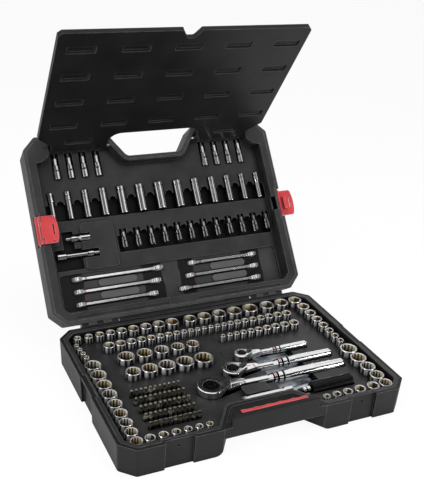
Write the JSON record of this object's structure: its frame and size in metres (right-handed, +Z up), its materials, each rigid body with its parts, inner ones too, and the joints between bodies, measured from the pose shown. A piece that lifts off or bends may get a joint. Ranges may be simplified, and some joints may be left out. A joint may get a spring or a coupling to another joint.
{
  "type": "socket wrench set in case",
  "caption": "Black carrying case, open, with sockets, bits, ratchets and small tools in a base tray, more tools in the leaning lid, a hinged flap and red latches.",
  "frame": {"origin": "middle of the base's flat underside", "axes": "+Z up, +X along the width, -Y towards the carrying handle"},
  "size_m": [0.501, 0.5738, 0.5276],
  "materials": {
    "black_case_plastic": "moulded black plastic, lightly textured",
    "red_plastic": "smooth red plastic",
    "pin_steel": "plain steel pin",
    "black_grip_plastic": "polished black plastic",
    "bit_steel": "dark satin steel",
    "dark_steel": "blackened steel",
    "chrome_steel": "polished chrome plating"
  },
  "bodies": {
    "base": {"base_shell": "black_case_plastic", "base_tray": "black_case_plastic", "grip_insert": "red_plastic", "bits": "bit_steel", "sockets_back_corner": "chrome_steel", "sockets_back_left": "chrome_steel", "sockets_back_right": "chrome_steel", "sockets_front_left": "chrome_steel", "sockets_front_right": "chrome_steel", "sockets_inner": "chrome_steel", "sockets_large_front": "chrome_steel", "sockets_large_rear": "chrome_steel", "sockets_left": "chrome_steel", "sockets_left_small": "chrome_steel", "sockets_middle": "chrome_steel", "sockets_right": "chrome_steel", "sockets_right_large": "chrome_steel"},
    "hinge_pins": {"hinge_pins": "pin_steel"},
    "lid": {"lid_shell": "black_case_plastic", "lid_tray": "black_case_plastic", "latch_pins": "pin_steel", "deep_sockets": "chrome_steel", "bit_sockets_left": "chrome_steel", "bit_sockets_right": "chrome_steel", "bit_sockets_row": "chrome_steel", "adapter": "chrome_steel", "bit_holder": "chrome_steel", "wrench_1": "chrome_steel", "wrench_2": "chrome_steel", "wrench_3": "chrome_steel", "wrench_4": "chrome_steel", "wrench_5": "chrome_steel", "wrench_6": "chrome_steel"},
    "flap_pins": {"flap_pins": "pin_steel"},
    "flap": {"flap": "black_case_plastic"},
    "latch_left": {"latch_left": "red_plastic"},
    "latch_right": {"latch_right": "red_plastic"},
    "extension": {"extension_bar": "chrome_steel"},
    "spinner": {"spinner_grip": "black_grip_plastic", "spinner_shaft": "chrome_steel"},
    "ratchet_quarter": {"ratchet_quarter_body": "chrome_steel", "ratchet_quarter_cover": "chrome_steel"},
    "ratchet_quarter_drive": {"ratchet_quarter_drive": "dark_steel"},
    "ratchet_quarter_button": {"ratchet_quarter_button": "chrome_steel"},
    "ratchet_quarter_lever": {"ratchet_quarter_lever": "dark_steel", "ratchet_quarter_pawl": "dark_steel"},
    "ratchet_three_eighths": {"ratchet_three_eighths_body": "chrome_steel", "ratchet_three_eighths_cover": "chrome_steel"},
    "ratchet_three_eighths_drive": {"ratchet_three_eighths_drive": "dark_steel"},
    "ratchet_three_eighths_button": {"ratchet_three_eighths_button": "chrome_steel"},
    "ratchet_three_eighths_lever": {"ratchet_three_eighths_lever": "dark_steel", "ratchet_three_eighths_pawl": "dark_steel"},
    "ratchet_half": {"ratchet_half_body": "chrome_steel", "ratchet_half_cover": "chrome_steel"},
    "ratchet_half_drive": {"ratchet_half_drive": "dark_steel"},
    "ratchet_half_button": {"ratchet_half_button": "chrome_steel"},
    "ratchet_half_lever": {"ratchet_half_lever": "dark_steel", "ratchet_half_pawl": "dark_steel"}
  },
  "joints": [
    {"name": "hinge_pin_turn", "type": "hinge", "parent": "base", "child": "hinge_pins", "pos_m": [0, 0.17, 0.046], "axis": [-1, 0, 0], "range_deg": [-37.4, 0]},
    {"name": "lid_hinge", "type": "hinge", "parent": "hinge_pins", "child": "lid", "pos_m": [0, 0.17, 0.046], "axis": [-1, 0, 0], "range_deg": [-90, 0]},
    {"name": "flap_pin_turn", "type": "hinge", "parent": "lid", "child": "flap_pins", "pos_m": [0, 0.3644, 0.29137], "axis": [-1, 0, 0], "range_deg": [-15, 0]},
    {"name": "flap_hinge", "type": "hinge", "parent": "flap_pins", "child": "flap", "pos_m": [0, 0.3644, 0.29137], "axis": [-1, 0, 0], "range_deg": [-92.2, 10]},
    {"name": "latch_left_swing", "type": "hinge", "parent": "lid", "child": "latch_left", "pos_m": [-0.2324, 0.27723, 0.17801], "axis": [0, 0.6074, 0.7944], "range_deg": [-195, 0]},
    {"name": "latch_right_swing", "type": "hinge", "parent": "lid", "child": "latch_right", "pos_m": [0.2324, 0.27723, 0.17801], "axis": [0, -0.6074, -0.7944], "range_deg": [-15, 180]},
    {"name": "ratchet_quarter_lift", "type": "slide", "parent": "base", "child": "ratchet_quarter", "axis": [0, 0, 1], "range_m": [0, 0.08]},
    {"name": "ratchet_quarter_drive_turn", "type": "hinge", "parent": "ratchet_quarter", "child": "ratchet_quarter_drive", "pos_m": [0.03, 0.011, 0.03], "axis": [0, 0, 1], "continuous": true},
    {"name": "ratchet_quarter_lever_swing", "type": "hinge", "parent": "ratchet_quarter", "child": "ratchet_quarter_lever", "pos_m": [0.04155, 0.011, 0.045], "axis": [0, 0, 1], "range_deg": [-40, 0]},
    {"name": "ratchet_quarter_button_press", "type": "slide", "parent": "ratchet_quarter_drive", "child": "ratchet_quarter_button", "axis": [0, 0, 1], "range_m": [-0.0016, 0], "stiffness_N_per_m": 300},
    {"name": "ratchet_three_eighths_lift", "type": "slide", "parent": "base", "child": "ratchet_three_eighths", "axis": [0, 0, 1], "range_m": [0, 0.08]},
    {"name": "ratchet_three_eighths_drive_turn", "type": "hinge", "parent": "ratchet_three_eighths", "child": "ratchet_three_eighths_drive", "pos_m": [-0.003, -0.024, 0.03], "axis": [0, 0, 1], "continuous": true},
    {"name": "ratchet_three_eighths_lever_swing", "type": "hinge", "parent": "ratchet_three_eighths", "child": "ratchet_three_eighths_lever", "pos_m": [0.01215, -0.024, 0.045], "axis": [0, 0, 1], "range_deg": [-40, 0]},
    {"name": "ratchet_three_eighths_button_press", "type": "slide", "parent": "ratchet_three_eighths_drive", "child": "ratchet_three_eighths_button", "axis": [0, 0, 1], "range_m": [-0.0016, 0], "stiffness_N_per_m": 300},
    {"name": "ratchet_half_lift", "type": "slide", "parent": "base", "child": "ratchet_half", "axis": [0, 0, 1], "range_m": [0, 0.08]},
    {"name": "ratchet_half_drive_turn", "type": "hinge", "parent": "ratchet_half", "child": "ratchet_half_drive", "pos_m": [-0.055, -0.056, 0.03], "axis": [0, 0, 1], "continuous": true},
    {"name": "ratchet_half_lever_swing", "type": "hinge", "parent": "ratchet_half", "child": "ratchet_half_lever", "pos_m": [-0.03535, -0.056, 0.045], "axis": [0, 0, 1], "range_deg": [-40, 0]},
    {"name": "ratchet_half_button_press", "type": "slide", "parent": "ratchet_half_drive", "child": "ratchet_half_button", "axis": [0, 0, 1], "range_m": [-0.0016, 0], "stiffness_N_per_m": 300},
    {"name": "extension_lift", "type": "slide", "parent": "base", "child": "extension", "axis": [0, 0, 1], "range_m": [0, 0.08]},
    {"name": "spinner_lift", "type": "slide", "parent": "base", "child": "spinner", "axis": [0, 0, 1], "range_m": [0, 0.08]}
  ]
}
